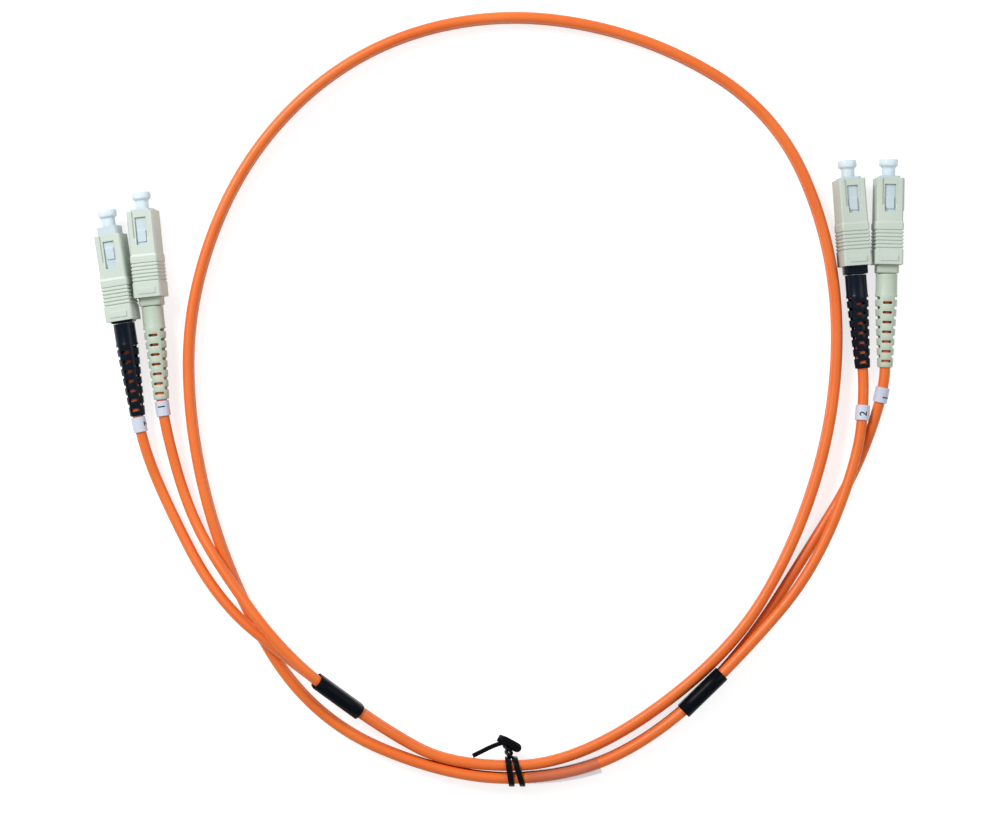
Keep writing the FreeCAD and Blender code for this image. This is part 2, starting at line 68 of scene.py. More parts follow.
# Sizes are in millimetres. A plug's x runs forward from the rear face of its grip

# Cord
STRAND = 3.0
PITCH = 3.2
WEB_WIDTH = 0.5
WEB_HEIGHT = 1.1

# Guard tubes and the clear label: radii, places along a tube, and the label's span in x
GUARD_INNER = 1.85
GUARD_OUTER = 2.15
GUARD_LIP = 0.12
GUARD_STATIONS = (-7.5, -2.5, 2.5, 7.5)
LABEL_INNER = 1.58
LABEL_OUTER = 1.7
LABEL_LIP = 0.03
LABEL_SPAN = (7.2, 27.8)
LABEL_FLARE = 0.6

# Number sleeves: radii, half their length, and the digits
SLEEVE_RADIUS = 2.0
SLEEVE_BORE = 1.55
SLEEVE_HALF = 2.15
SLEEVE_EDGE = 0.1
DIGIT_SIZE = 2.9
DIGIT_BOLDNESS = 0.04
DIGIT_WELD = 0.0005
DIGIT_CUTS = 3
INK_DEPTH = 0.03

# Boots
BOOT_FRONT = 1.0
BOOT_END = -28.5
BOOT_TAIL = 4.2
BOOT_TAPER = 0.1
BOOT_EDGE = 0.06
SLOT_REACH = 4.0
SLOT_COUNT = 7
SLOT_PITCH = 2.7
SLOT_START = -10.2
SLOT_WIDTH = 0.75
SLOT_BREADTH = 2.7
SIDE_SLOT_WIDTH = 0.85
SIDE_SLOT_SHARE = 0.74

# Grips, frames and springs
NOSE = 24.6
GRIP_EDGE = 0.09
FRAME_EDGE = 0.08

# Twist tie: loops with their middle in x, lean and width, a twist, a paddle end and a thin tail.
# Powers under one square up what would be round: the ribbon's section and its loops
RIBBON_SIDES = 20
RIBBON_ACROSS_POWER = 0.35
RIBBON_DEEP_POWER = 0.6
TIE_LOOP_POWER = 0.62
TIE_MIDDLE_Y = -103.1
TIE_MIDDLE_Z = 4.2
TIE_HALF_Y = 3.8
TIE_HALF_Z = 3.65
TIE_THICKNESS = 0.72
TIE_LOOPS = ((3.0, 0.15, 1.65), (5.45, 0.3, 1.6))
TWIST_START = (3.2, -99.2, 4.9)
TWIST_END = (2.0, -95.4, 4.7)
TWIST_RADIUS = 0.62
TWIST_TURNS = 1.1
TWIST_PHASES = (0.4, 3.5)
TWIST_WIDTH = 1.3
TWIST_THICKNESS = 0.8
PADDLE_MIDDLE = (2.9, -95.3, 4.7)
PADDLE_TURN = -28.5
PADDLE_HALF_LENGTH = 3.6
PADDLE_HALF_WIDTH = 1.3
PADDLE_LAYERS = ((0.22, -0.5), (0.0, -0.3), (0.0, 0.3), (0.22, 0.5))
TAIL_WIDTH = 1.25
TAIL_THICKNESS = 0.75
TIE_TAIL = [
    (1.6, -95.0, 4.6),
    (0.2, -95.3, 4.6),
    (-1.4, -95.9, 4.6),
    (-3.2, -96.7, 4.5),
    (-5.2, -97.7, 4.5),
    (-7.3, -98.75, 4.5),
]

# Stage, in metres and watts: each light has a place, a side and a power
FLOOR_HALF = 1.5
FLOOR_DROP = 0.00005
FLOOR_GLOW = 0.72
SURROUND = 0.42
KEY_LIGHT = ((-0.55, 0.5, 0.75), 0.4, 8.5)
FILL_LIGHT = ((0.75, 0.35, 0.7), 0.6, 2.2)

# Most of a noise's values lie between these
NOISE_LOW = 0.3
NOISE_HIGH = 0.7


# Materials

def srgb(red, green, blue):
    """A colour as it is seen on screen, 0 to 255, in linear values."""
    values = []
    for value in (red, green, blue):
        share = value / 255
        values.append(share / 12.92 if share <= 0.04045 else ((share + 0.055) / 1.055) ** 2.4)
    return (*values, 1.0)


def new_material(name):
    material = bpy.data.materials.new(name)
    material.use_nodes = True
    return material


def inputs_of(material):
    """The sockets of a material's shader."""
    return material.node_tree.nodes["Principled BSDF"].inputs


def add_noise(tree, scale, detail=4.0):
    """Noise in object space, which is metres from the origin of the whole cable."""
    coordinates = tree.nodes.new("ShaderNodeTexCoord")
    noise = tree.nodes.new("ShaderNodeTexNoise")
    noise.inputs["Scale"].default_value = scale
    noise.inputs["Detail"].default_value = detail
    tree.links.new(coordinates.outputs["Object"], noise.inputs["Vector"])
    return noise.outputs["Fac"]


def add_range(tree, value, low, high):
    """Spreads a noise value over a range."""
    node = tree.nodes.new("ShaderNodeMapRange")
    node.inputs["From Min"].default_value = NOISE_LOW
    node.inputs["From Max"].default_value = NOISE_HIGH
    node.inputs["To Min"].default_value = low
    node.inputs["To Max"].default_value = high
    tree.links.new(value, node.inputs["Value"])
    return node.outputs["Result"]


def add_colour(tree, value, first, last):
    """A colour that wanders between two with a noise value."""
    ramp = tree.nodes.new("ShaderNodeValToRGB")
    ramp.color_ramp.elements[0].position = NOISE_LOW
    ramp.color_ramp.elements[0].color = first
    ramp.color_ramp.elements[1].position = NOISE_HIGH
    ramp.color_ramp.elements[1].color = last
    tree.links.new(value, ramp.inputs["Fac"])
    return ramp.outputs["Color"]


def add_bump(tree, value, distance):
    """Small dents, as deep as the distance in metres."""
    bump = tree.nodes.new("ShaderNodeBump")
    bump.inputs["Strength"].default_value = 1.0
    bump.inputs["Distance"].default_value = distance
    tree.links.new(value, bump.inputs["Height"])
    return bump.outputs["Normal"]


def moulded(name, first, last, roughness, grain=900.0, depth=0.00001, spread=0.05, cloud=60.0):
    """A plastic or rubber: clouded colour, uneven gloss and the fine grain of its mould."""
    material = new_material(name)
    tree = material.node_tree
    inputs = inputs_of(material)
    clouds = add_noise(tree, cloud)
    tree.links.new(add_colour(tree, clouds, srgb(*first), srgb(*last)), inputs["Base Color"])
    fine = add_noise(tree, grain, 6.0)
    tree.links.new(add_range(tree, fine, roughness - spread, roughness + spread), inputs["Roughness"])
    tree.links.new(add_bump(tree, fine, depth), inputs["Normal"])
    return material


def jacket_material():
    """The satin orange plastic of the cord, which lets a little light in."""
    material = moulded("orange_jacket", (231, 106, 36), (240, 122, 50), 0.4,
                       grain=700.0, depth=0.00002, spread=0.06, cloud=45.0)
    inputs = inputs_of(material)
    inputs["Subsurface Weight"].default_value = 0.06
    inputs["Subsurface Radius"].default_value = (1.0, 0.35, 0.1)
    inputs["Subsurface Scale"].default_value = 0.0006
    inputs["Specular IOR Level"].default_value = 0.45
    return material


def dark(name, first, last, roughness, gloss):
    """A black plastic: most of what it shows is the light that it mirrors."""
    material = moulded(name, first, last, roughness, grain=1100.0, depth=0.000008)
    inputs_of(material)["Specular IOR Level"].default_value = gloss
    return material


def clear(name, first, last, roughness, transmission, cover):
    """A clear or milky plastic; the cover is how much of what lies behind it is hidden."""
    material = moulded(name, first, last, roughness, grain=500.0, depth=0.000003, spread=0.04, cloud=150.0)
    inputs = inputs_of(material)
    inputs["Transmission Weight"].default_value = transmission
    inputs["IOR"].default_value = 1.46
    inputs["Alpha"].default_value = cover
    return material


def metal(name, first, last, roughness):
    """A turned or drawn metal, its polish a little uneven."""
    material = moulded(name, first, last, roughness, grain=1500.0, depth=0.000004, spread=0.08, cloud=200.0)
    inputs_of(material)["Metallic"].default_value = 1.0
    return material


jacket = jacket_material()
grip_beige = moulded("grip_beige", (194, 206, 194), (202, 213, 203), 0.45, grain=1400.0, depth=0.000008)
boot_beige = moulded("boot_beige", (183, 198, 180), (195, 209, 192), 0.5, grain=1200.0)
boot_black = dark("boot_black", (4, 13, 24), (10, 23, 37), 0.25, gloss=0.16)
frame_white = moulded("frame_white", (190, 206, 213), (202, 217, 223), 0.35, grain=1400.0, depth=0.000005)
sleeve_white = moulded("sleeve_white", (198, 206, 224), (211, 218, 233), 0.4, grain=1600.0, depth=0.000006)
ink = moulded("ink", (28, 30, 42), (40, 42, 54), 0.55)
guard_black = dark("guard_black", (3, 8, 14), (8, 14, 22), 0.36, gloss=0.08)
tie_black = dark("tie_black", (3, 5, 10), (8, 11, 17), 0.28, gloss=0.12)
ceramic = moulded("ceramic", (236, 238, 236), (243, 244, 242), 0.12,
                  grain=3000.0, depth=0.000001, spread=0.03)
cap_clear = clear("cap_clear", (224, 243, 252), (236, 250, 255), 0.3, transmission=0.1, cover=0.86)
label_clear = clear("label_clear", (136, 104, 112), (160, 130, 138), 0.2, transmission=0.0, cover=0.12)
nickel = metal("nickel", (190, 188, 182), (205, 203, 198), 0.3)
steel = metal("steel", (170, 172, 176), (186, 188, 192), 0.25)
crimp_metal = metal("crimp_metal", (178, 180, 184), (196, 198, 202), 0.35)


# Building pieces

def new_object(name, data):
    """An object in the scene that holds a mesh, curve, light or camera."""
    thing = bpy.data.objects.new(name, data)
    bpy.context.scene.collection.objects.link(thing)
    return thing


def add_piece(name, mesh_or_curve, material, body="cable", replaced=()):
    """A piece with its finish, the body that it moves with and the nodes that it stands for."""
    piece = new_object(name, mesh_or_curve)
    piece.data.materials.clear()
    piece.data.materials.append(material)
    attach(piece, body)
    if replaced:
        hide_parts(*replaced)
    return piece


def shade_by_angle(mesh, degrees=35.0):
    """Smooth shading that keeps the edges sharper than an angle."""
    mesh.shade_smooth()
    mesh.set_sharp_from_angle(angle=math.radians(degrees))


def mesh_of(form, name):
    """A new mesh from a form, which is then freed."""
    mesh = bpy.data.meshes.new(name)
    form.to_mesh(mesh)
    form.free()
    return mesh


def weld(mesh, distance=0.000002):
    """Joins the points that lie at one place."""
    form = bmesh.new()
    form.from_mesh(mesh)
    bmesh.ops.remove_doubles(form, verts=form.verts, dist=distance)
    bmesh.ops.recalc_face_normals(form, faces=form.faces)
    form.to_mesh(mesh)
    form.free()


def loft_mesh(name, rings, closed_ends=True):
    """Faces between rings of points that all have the same count."""
    form = bmesh.new()
    rows = [[form.verts.new(point) for point in ring] for ring in rings]
    count = len(rows[0])
    for near, far in zip(rows, rows[1:]):
        for i in range(count):
            j = (i + 1) % count
            form.faces.new((near[i], near[j], far[j], far[i]))
    if closed_ends:
        form.faces.new(rows[0][::-1])
        form.faces.new(rows[-1])
    bmesh.ops.recalc_face_normals(form, faces=form.faces)
    return mesh_of(form, name)


def lathe_mesh(name, profile, place, steps=64):
    """A profile of (along, radius) in millimetres turned about the plug's axis.
    A profile that starts and ends at the same place makes a ring with a hole."""
    rings = []
    for along, radius in profile:
        ring = []
        for i in range(steps):
            turn = 2 * math.pi * i / steps
            point = Vector((along, radius * math.sin(turn), radius * math.cos(turn))) * MM
            ring.append(place @ point)
        rings.append(ring)
    hollow = profile[0] == profile[-1]
    if hollow:
        rings[-1] = rings[0]
    mesh = loft_mesh(name, rings, closed_ends=not hollow)
    if hollow:
        weld(mesh)
    return mesh


def current_mesh(thing):
    """The mesh that an object shows, with its modifiers or its curve worked out."""
    graph = bpy.context.evaluated_depsgraph_get()
    return bpy.data.meshes.new_from_object(thing.evaluated_get(graph))


def curve_mesh(curve):
    """The mesh that a curve or text makes, with no object left behind."""
    holder = new_object("holder", curve)
    bpy.context.view_layer.update()
    mesh = current_mesh(holder)
    bpy.data.objects.remove(holder)
    return mesh


def bake(piece):
    """Applies a piece's modifiers to its mesh."""
    mesh = current_mesh(piece)
    piece.modifiers.clear()
    piece.data = mesh


def add_bevel(piece, width, degrees):
    """Small round edges wherever two faces turn by more than an angle."""
    bevel = piece.modifiers.new("edges", "BEVEL")
    bevel.width = width * MM
    bevel.segments = 2
    bevel.limit_method = "ANGLE"
    bevel.angle_limit = math.radians(degrees)
    bevel.harden_normals = False


def signed_power(value, power):
    """A sine or cosine raised to a power, with its sign kept."""
    return math.copysign(abs(value) ** power, value)


def placed(ahead, side, up, origin):
    """A frame with these axes and this origin."""
    place = Matrix((ahead, side, up)).transposed().to_4x4()
    place.translation = origin
    return place


def frame_along(middle, ahead):
    """Axes at a place: x along the cord, z as near to up as that allows."""
    side = Vector((0, 0, 1)).cross(ahead).normalized()
    return placed(ahead, side, ahead.cross(side), middle)


def plug_places():
    """Each plug's own frame: x forward, y towards its key, z square to both."""
    mounts = {mount["name"]: mount for mount in record["mounts"]}
    found = {}
    for name in PLUGS:
        nose = mounts["plug_nose_" + name]
        side = mounts["grip_side_" + name]
        forward = Vector(nose["axis"]).normalized()
        across = -Vector(side["axis"]).normalized()
        origin = Vector(nose["pos_m"]) - forward * NOSE * MM
        found[name] = placed(forward, across, forward.cross(across), origin)
    return found


def node_middle(name):
    low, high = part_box(name)
    return (Vector(low) + Vector(high)) / 2


def nearest(line, place):
    """Which point of a line lies closest to a place."""
    return min(range(len(line)), key=lambda i: (line[i] - place).length)


places = plug_places()


# The cord: control points of each strand's spline, in metres

SHARED = [
    (-0.0579, -0.0718, 0.0100),
    (-0.0314, -0.0920, 0.0016),
    (-0.0129, -0.1014, 0.0026),
    (0.0210, -0.1012, 0.0026),
    (0.0624, -0.0723, 0.0016),
    (0.0829, -0.0398, 0.0016),
    (0.0945, 0.0003, 0.0016),
    (0.0934, 0.0423, 0.0016),
    (0.0773, 0.0802, 0.0016),
    (0.0419, 0.1015, 0.0016),
    (-0.0002, 0.1087, 0.0016),
    (-0.0398, 0.0978, 0.0016),
    (-0.0703, 0.0695, 0.0016),
    (-0.0865, 0.0297, 0.0016),
    (-0.0863, -0.0098, 0.0016),
    (-0.0750, -0.0504, 0.0016),
    (-0.0524, -0.0886, 0.0016),
    (-0.0125, -0.1052, 0.0026),
    (0.0201, -0.1046, 0.0026),
    (0.0449, -0.0925, 0.0026),
    (0.0683, -0.0698, 0.0021),
]
# The pair leans over at the foot of the inner pass: its lower strand lies further out there
LOWER_LEAN = [
    (-0.01295, -0.1016, 0.0026),
    (0.0212, -0.1017, 0.0026),
    (0.06295, -0.0729, 0.0016),
]
LEG_LEFT_1 = [
    (-0.0959, 0.0224, 0.00525),
    (-0.0943, 0.00648, 0.00525),
    (-0.0930, -0.00645, 0.00525),
    (-0.0868, -0.0297, 0.0032),
    (-0.0775, -0.0461, 0.0076),
]
LEG_LEFT_2 = [
    (-0.1036, 0.0177, 0.00525),
    (-0.10121, 0.00188, 0.00525),
    (-0.09925, -0.01097, 0.00525),
    (-0.0935, -0.0270, 0.0017),
    (-0.0786, -0.0550, 0.0067),
]
LEG_RIGHT_2 = [
    (0.0875, -0.0473, 0.0052),
    (0.0996, -0.0165, 0.0059),
    (0.10152, 0.00216, 0.00525),
    (0.10052, 0.01515, 0.00525),
    (0.0993, 0.0311, 0.00525),
]
LEG_RIGHT_1 = [
    (0.0867, -0.0409, 0.0016),
    (0.0993, -0.0204, 0.0016),
    (0.10707, 0.0024, 0.00505),
    (0.10731, 0.0154, 0.00505),
    (0.1076, 0.0314, 0.00505),
]


def raised(points, height):
    return [(x, y, z + height * MM) for x, y, z in points]


middle_points = raised(SHARED, PITCH / 2)
upper_points = LEG_LEFT_1 + raised(SHARED, PITCH) + LEG_RIGHT_2
lower_points = LEG_LEFT_2 + SHARED[:2] + LOWER_LEAN + SHARED[5:] + LEG_RIGHT_1


def spline_curve(name, points, bevel=0.0, steps=16):
    """One smooth line led by its control points; the bevel is its radius."""
    curve = bpy.data.curves.new(name, "CURVE")
    curve.dimensions = "3D"
    curve.resolution_u = steps
    curve.bevel_depth = bevel
    curve.bevel_resolution = 8
    curve.use_fill_caps = bevel > 0
    spline = curve.splines.new("NURBS")
    spline.points.add(len(points) - 1)
    for point, place in zip(spline.points, points):
        point.co = (*place, 1.0)
    spline.order_u = 3
    spline.use_endpoint_u = True
    return curve


def points_on(points):
    """Places close together along the smooth line of a spline."""
    curve = spline_curve("line", points, steps=40)
    mesh = curve_mesh(curve)
    line = [vertex.co.copy() for vertex in mesh.vertices]
    bpy.data.meshes.remove(mesh)
    bpy.data.curves.remove(curve)
    return line


def line_length(line):
    return sum((b - a).length for a, b in zip(line, line[1:]))


def make_strands():
    """The two strands of the cord, each a round tube from plug to plug."""
    for name, points in (("upper", upper_points), ("lower", lower_points)):
        curve = spline_curve("strand_" + name, points, STRAND / 2 * MM)
        strand = add_piece("strand_" + name, curve, jacket, "cable", ["cord_" + name])
        length = line_length(points_on(points))


def make_web():
    """The thin web that joins the two jackets, from one guard tube to the other."""
    line = points_on(middle_points)
    first = nearest(line, node_middle("guard_tube_left"))
    last = len(line) - nearest(line[::-1], node_middle("guard_tube_right"))
    rings = []
    for before, here, after in zip(line[first:], line[first + 1:], line[first + 2:last]):
        ahead = (after - before).normalized()
        side = ahead.cross(Vector((0, 0, 1))).normalized() * WEB_WIDTH / 2 * MM
        up = side.cross(ahead).normalized() * WEB_HEIGHT / 2 * MM
        rings.append([here + side + up, here - side + up, here - side - up, here + side - up])
    mesh = loft_mesh("jacket_web", rings)
    shade_by_angle(mesh)
    add_piece("jacket_web", mesh, jacket)


# Sleeves round both strands

def racetrack(radius, gap, steps=16):
    """Points round two half circles, a gap apart."""
    points = []
    for half, turn in ((1, 0.0), (-1, math.pi)):
        for i in range(steps + 1):
            angle = turn + math.pi * i / steps
            points.append((radius * math.cos(angle), half * gap / 2 + radius * math.sin(angle)))
    return points


def pair_ring(place, ahead, flare, radius, shift=0.0):
    """Points round both strands, shifted along them, and wider and further out by the flare."""
    side = Vector((0, 0, 1)).cross(ahead).normalized()
    up = ahead.cross(side)
    centre = place + ahead * shift * MM - side * flare * MM
    return [centre + side * y * MM + up * z * MM for y, z in racetrack(radius + flare, PITCH)]


def pair_sleeve_mesh(name, stations, inner, outer, lip):
    """A sleeve round both strands, its ends rounded by a lip.
    Each station is a place, the direction there and how much it flares."""
    first = stations[0]
    last = stations[-1]
    middle = (inner + outer) / 2
    rings = [
        pair_ring(*first, inner, lip),
        pair_ring(*first, middle),
        pair_ring(*first, outer, lip),
    ]
    rings += [pair_ring(*station, outer) for station in stations[1:-1]]
    rings += [
        pair_ring(*last, outer, -lip),
        pair_ring(*last, middle),
        pair_ring(*last, inner, -lip),
    ]
    rings += [pair_ring(*station, inner) for station in stations[-2:0:-1]]
    rings.append(rings[0])
    mesh = loft_mesh(name, rings, closed_ends=False)
    weld(mesh)
    shade_by_angle(mesh, 60.0)
    return mesh


def make_guard_tubes():
    """The stiff black tubes round both strands, straight along one run of the route."""
    for side, ends in (("left", middle_points[:2]), ("right", middle_points[-2:])):
        start, end = map(Vector, ends)
        middle = (start + end) / 2
        ahead = (end - start).normalized()
        stations = [(middle + ahead * step * MM, ahead, 0.0) for step in GUARD_STATIONS]
        mesh = pair_sleeve_mesh("guard_" + side, stations, GUARD_INNER, GUARD_OUTER, GUARD_LIP)
        add_piece("guard_" + side, mesh, guard_black, "cable", ["guard_tube_" + side])


def make_label():
    """The clear sleeve that follows the outer turn, right of the tie, and widens outward."""
    line = points_on(middle_points)
    outer_turn = line[len(line) // 2:]
    stations = []
    start, end = (edge * MM for edge in LABEL_SPAN)
    for before, here, after in zip(outer_turn, outer_turn[1:], outer_turn[2:]):
        if start <= here.x <= end and here.y < 0:
            flare = LABEL_FLARE * (here.x - start) / (end - start)
            stations.append((here, (after - before).normalized(), flare))
    stations = stations[::2] + [stations[-1]]
    mesh = pair_sleeve_mesh("label_film", stations, LABEL_INNER, LABEL_OUTER, LABEL_LIP)
    add_piece("label_film", mesh, label_clear, "cable", ["label_sleeve"])


# Boots

# Along and radius: back from the collar to the end, then forward again inside
BOOT_PROFILE = [
    (-2.6, 3.05), (-3.0, 3.0), (-8.0, 3.0), (-8.35, 3.08), (-8.6, 3.12), (-12.0, 2.96), (-18.0, 2.66),
    (-24.0, 2.36), (-28.1, 2.14), (BOOT_END, 2.0), (BOOT_END, 1.66), (-28.2, 1.6), (-9.4, 1.6),
    (-9.2, 2.35), (-2.6, 2.35), (-2.6, 3.05),
]
# Along, size and corner radius of the square collar that seats in the grip
COLLAR_RINGS = [
    (-2.4, 5.5, 1.2),
    (-2.3, 6.0, 1.2),
    (-2.1, 6.2, 1.1),
    (BOOT_FRONT, 6.2, 1.1),
]


def add_slot(form, start, width, breadth, sideways):
    """One slot with round ends, right through the boot from top to bottom or sideways."""
    outline = racetrack(width / 2, breadth - width, 6)
    rings = []
    for through in (-SLOT_REACH, SLOT_REACH):
        ring = []
        for along, reach in outline:
            across, up = (through, reach) if sideways else (reach, through)
            ring.append(form.verts.new(Vector((start - width / 2 + along, across, up)) * MM))
        rings.append(ring)
    low, high = rings
    for i in range(len(outline)):
        form.faces.new((low[i - 1], low[i], high[i], high[i - 1]))
    form.faces.new(low[::-1])
    form.faces.new(high)


def slots_mesh(place):
    """All the slots: top and bottom ones, and taller side ones half a pitch ahead of them."""
    form = bmesh.new()
    for i in range(SLOT_COUNT):
        start = SLOT_START - SLOT_PITCH * i
        add_slot(form, start, SLOT_WIDTH, SLOT_BREADTH, sideways=False)
        ahead = start + SLOT_PITCH / 2
        diameter = BOOT_TAIL + BOOT_TAPER * (ahead - BOOT_END)
        add_slot(form, ahead, SIDE_SLOT_WIDTH, SIDE_SLOT_SHARE * diameter, sideways=True)
    bmesh.ops.recalc_face_normals(form, faces=form.faces)
    mesh = mesh_of(form, "slots")
    mesh.transform(place)
    return mesh


def cut_slots(boot, place):
    """Cuts a boot's slots and rounds its edges."""
    cutter = new_object("cutter", slots_mesh(place))
    cut = boot.modifiers.new("slots", "BOOLEAN")
    cut.operation = "DIFFERENCE"
    cut.solver = "EXACT"
    cut.object = cutter
    add_bevel(boot, BOOT_EDGE, degrees=35.0)
    bake(boot)
    bpy.data.objects.remove(cutter)


def rounded_square(size, corner, steps=6):
    """Points round a square with quarter circles at its corners."""
    half = size / 2 - corner
    points = []
    for quarter, (cy, cz) in enumerate(((half, half), (-half, half), (-half, -half), (half, -half))):
        for i in range(steps + 1):
            angle = math.pi / 2 * (quarter + i / steps)
            points.append((cy + corner * math.cos(angle), cz + corner * math.sin(angle)))
    return points


def collar_mesh(name, place):
    rings = []
    for along, size, corner in COLLAR_RINGS:
        rings.append([place @ (Vector((along, y, z)) * MM) for y, z in rounded_square(size, corner)])
    return loft_mesh(name, rings)


def make_boots():
    """Beige boots on the plugs with the number 1, black ones on those with the number 2."""
    for name, place in places.items():
        beige = name.endswith("1")
        material = boot_beige if beige else boot_black
        mesh = lathe_mesh("boot_skin_" + name, BOOT_PROFILE, place, 72)
        shade_by_angle(mesh)
        boot = add_piece("boot_skin_" + name, mesh, material, "cable", ["boot_" + name])
        cut_slots(boot, place)
        shade_by_angle(boot.data, 40.0)
        collar = collar_mesh("boot_collar_" + name, place)
        shade_by_angle(collar, 40.0)
        add_piece("boot_collar_" + name, collar, material)


# Grips, frames, caps and what they hold

# Along and radius: forward from the neck's mouth to the flange, then back inside
CAP_PROFILE = [
    (19.5, 1.3), (19.55, 1.78), (19.7, 1.86), (26.5, 1.87), (26.9, 1.95), (27.15, 2.15), (27.3, 2.45),
    (27.5, 2.62), (27.8, 2.7), (28.9, 2.7), (29.2, 2.63), (29.36, 2.45), (29.4, 2.2), (29.3, 1.9),
    (29.3, 0.02), (23.9, 0.02), (23.9, 1.2), (23.75, 1.28), (19.6, 1.28), (19.5, 1.3),
]


def softened(node, name, material, body, width):
    """A copy of a node's form with small round edges, which stands for it."""
    mesh = nodes[node].data.copy()
    mesh.name = name
    weld(mesh)
    mesh.shade_smooth()
    piece = add_piece(name, mesh, material, body, [node])
    add_bevel(piece, width, degrees=12.0)
    piece.modifiers.new("flats", "WEIGHTED_NORMAL")
    bake(piece)
    piece.data.materials.clear()
    piece.data.materials.append(material)


def make_grips():
    """The sliding grips, and the white frames inside them."""
    for name in PLUGS:
        grip = "grip_" + name
        softened(grip, "grip_skin_" + name, grip_beige, grip, GRIP_EDGE)
        softened("plug_frame_" + name, "frame_skin_" + name, frame_white, "cable", FRAME_EDGE)


def make_caps():
    """Clear caps: a hollow neck and a round flange with soft edges."""
    for name, place in places.items():
        mesh = lathe_mesh("cap_skin_" + name, CAP_PROFILE, place)
        shade_by_angle(mesh, 40.0)
        add_piece("cap_skin_" + name, mesh, cap_clear, "cap_" + name, ["dust_cap_" + name])


def make_springs():
    """The springs, each with a mesh of its own; the real ones shorten as their ferrules are pushed back."""
    for name, place in places.items():
        mesh = nodes["ferrule_spring_" + name].data.copy()
        weld(mesh)
        spring = add_piece("spring_coil_" + name, mesh, steel, "cable", ["ferrule_spring_" + name])
        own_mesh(spring)


def finish_inner_parts():
    """The pieces inside each plug keep their form and get their finishes."""
    finishes = {
        "ferrule_": ceramic,
        "ferrule_holder_": nickel,
        "back_body_": frame_white,
        "crimp_ring_": crimp_metal,
    }
    for name in PLUGS:
        for kind, material in finishes.items():
            mesh = nodes[kind + name].data
            mesh.materials.clear()
            mesh.materials.append(material)


# Number sleeves

# The line of each leg, its digit, the digit's turn about the cord in degrees, and its shift
MARKERS = {
    "left_1": (upper_points, "1", -8, -0.55),
    "left_2": (lower_points, "2", 72, -0.1),
    "right_2": (upper_points, "2", -5, -0.3),
    "right_1": (lower_points, "1", -42, -0.5),
}


def sleeve_profile():
    """Along and radius: the rounded rear end, the front end as its mirror, and back inside."""
    rear = [
        (-SLEEVE_HALF, SLEEVE_BORE),
        (-SLEEVE_HALF + SLEEVE_EDGE / 2, SLEEVE_RADIUS - SLEEVE_EDGE),
        (-SLEEVE_HALF + SLEEVE_EDGE * 1.5, SLEEVE_RADIUS),
    ]
    front = [(-along, radius) for along, radius in rear[::-1]]
    return rear + front + rear[:1]


def make_markers():
    """White sleeves with a digit, each on the line of its own leg."""
    for name, (points, digit, turn, shift) in MARKERS.items():
        line = points_on(points)
        at = nearest(line, node_middle("marker_" + name))
        ahead = (line[at + 3] - line[at - 3]).normalized()
        place = frame_along(line[at], ahead)
        mesh = lathe_mesh("sleeve_" + name, sleeve_profile(), place, 48)
        shade_by_angle(mesh, 40.0)
        add_piece("sleeve_" + name, mesh, sleeve_white, "cable", ["marker_" + name])
        make_digit(name, digit, place, math.radians(turn), shift)


def flat_digit(digit):
    """A digit as a thin plate in millimetres, with enough faces to be bent."""
    text = bpy.data.curves.new("digit", "FONT")
    text.body = digit
    text.size = DIGIT_SIZE
    text.offset = DIGIT_BOLDNESS
    text.extrude = INK_DEPTH
    text.align_x = "CENTER"
    text.align_y = "CENTER"
    form = bmesh.new()
    form.from_mesh(curve_mesh(text))
    bmesh.ops.remove_doubles(form, verts=form.verts, dist=DIGIT_WELD)
    bmesh.ops.triangulate(form, faces=form.faces)
    bmesh.ops.subdivide_edges(form, edges=form.edges, cuts=DIGIT_CUTS, use_grid_fill=True)
    return form


def make_digit(name, digit, place, turn, shift):
    """A digit wrapped round its sleeve, upright across the cord."""
    form = flat_digit(digit)
    for vertex in form.verts:
        angle = vertex.co.y / SLEEVE_RADIUS + turn
        radius = SLEEVE_RADIUS + vertex.co.z
        across = radius * math.sin(angle)
        up = radius * math.cos(angle)
        vertex.co = place @ (Vector((vertex.co.x + shift, across, up)) * MM)
    bmesh.ops.recalc_face_normals(form, faces=form.faces)
    add_piece("digit_" + name, mesh_of(form, "digit_" + name), ink)


# Twist tie

def ribbon_mesh(path, width, thickness, wide_ways, closed=False):
    """A flat ribbon with rounded edges along a path; wide_ways gives its broad direction."""
    outline = []
    for i in range(RIBBON_SIDES):
        angle = 2 * math.pi * i / RIBBON_SIDES
        across = signed_power(math.cos(angle), RIBBON_ACROSS_POWER) * width / 2
        deep = signed_power(math.sin(angle), RIBBON_DEEP_POWER) * thickness / 2
        outline.append((across, deep))
    rings = []
    count = len(path)
    for i, here in enumerate(path):
        before = path[i - 1] if closed or i > 0 else here
        after = path[(i + 1) % count] if closed or i < count - 1 else here
        ahead = (after - before).normalized()
        broad = (wide_ways - ahead * wide_ways.dot(ahead)).normalized()
        thin = ahead.cross(broad)
        rings.append([here + (broad * a + thin * d) * MM for a, d in outline])
    if closed:
        rings.append(rings[0])
    mesh = loft_mesh("ribbon", rings, closed_ends=not closed)
    if closed:
        weld(mesh)
    return mesh


def in_metres(points):
    """A path in millimetres as vectors in metres."""
    return [Vector(point) * MM for point in points]


def tie_loop(middle_x, lean, steps=96):
    """One turn round the bundle; it leans across as it goes from the inner to the outer pass."""
    points = []
    for i in range(steps):
        angle = 2 * math.pi * i / steps
        y = signed_power(math.cos(angle), TIE_LOOP_POWER) * TIE_HALF_Y
        z = signed_power(math.sin(angle), TIE_LOOP_POWER) * TIE_HALF_Z
        points.append((middle_x - lean * y, TIE_MIDDLE_Y + y, TIE_MIDDLE_Z + z))
    return in_metres(points)


